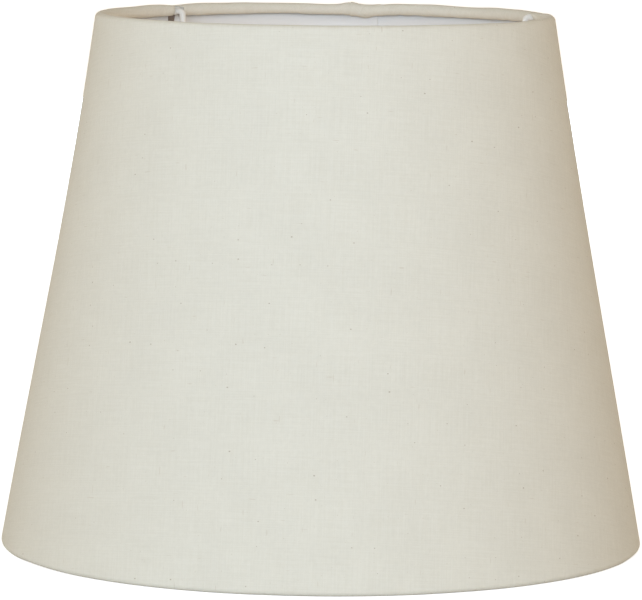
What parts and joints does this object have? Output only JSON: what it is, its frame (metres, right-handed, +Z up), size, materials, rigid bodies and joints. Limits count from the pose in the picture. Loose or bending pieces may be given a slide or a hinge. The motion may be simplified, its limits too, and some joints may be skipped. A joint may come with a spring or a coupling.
{
  "type": "lamp shade",
  "caption": "Tapered hard-backed lamp shade: natural cotton on a plastic lining, rolled over wire rings, with a dropped wire spider, a fitter ring and a loose reducer.",
  "frame": {"origin": "centre of the bottom rim, in the plane the shade stands on", "axes": "+Z up along the shade's axis; +Y about half way between the left and right arms, with the seam 4.5 degrees to its left seen from the front; the front arm points to -Y"},
  "size_m": [0.3, 0.3012, 0.249],
  "materials": {
    "calico": "plain-weave undyed cotton with small seed flecks, matt",
    "lining_sheet": "white translucent sheet with a faint grain, satin",
    "white_wire": "white powder coat on steel, satin",
    "clear_tape": "thin double-sided adhesive tape",
    "white_nylon": "moulded white plastic, satin"
  },
  "bodies": {
    "shade": {"cover_cloth": "calico", "seam_lap": "calico", "seam_tape": "clear_tape", "lining": "lining_sheet", "top_ring": "white_wire", "bottom_ring": "white_wire", "arm_left": "white_wire", "arm_right": "white_wire", "arm_front": "white_wire", "fitter_ring": "white_wire"},
    "reducer": {"reducer_ring": "white_nylon"}
  },
  "joints": [
    {"name": "reducer_lift", "type": "slide", "parent": "shade", "child": "reducer", "axis": [0, 0, 1], "range_m": [0, 0.045]}
  ]
}
